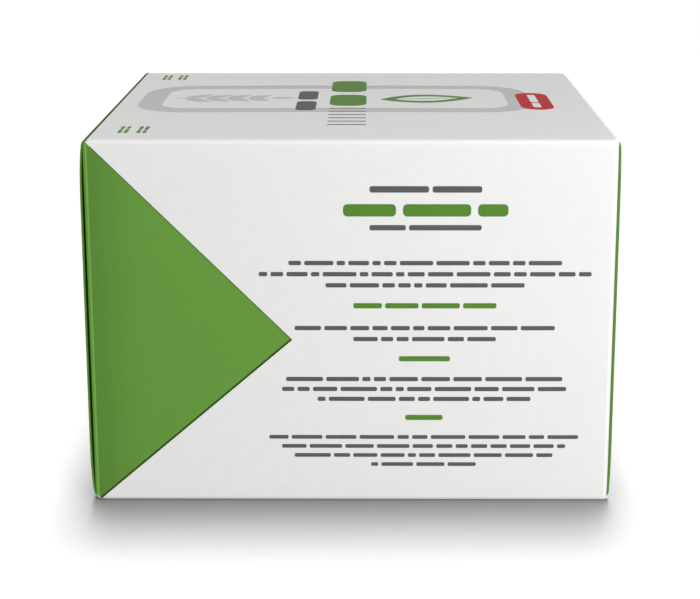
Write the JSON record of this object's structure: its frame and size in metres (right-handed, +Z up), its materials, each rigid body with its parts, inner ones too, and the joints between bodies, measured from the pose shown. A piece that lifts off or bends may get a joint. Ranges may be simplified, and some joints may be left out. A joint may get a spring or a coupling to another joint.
{
  "type": "tea box",
  "caption": "Shut folding carton for tea, lying on a long side, white and green board with rounded folds and a bowed closing flap at each end.",
  "frame": {"origin": "middle of the base panel, on the surface the carton rests on", "axes": "+X along the carton's length, from one closing flap to the other; +Y from the front panel with the text block to the back panel; +Z up"},
  "size_m": [0.1216, 0.108, 0.086],
  "materials": {
    "coated_board": "white coated board with satin varnish, green print on one corner of the front and on both ends"
  },
  "bodies": {
    "root": {"carton": "coated_board"}
  },
  "joints": []
}
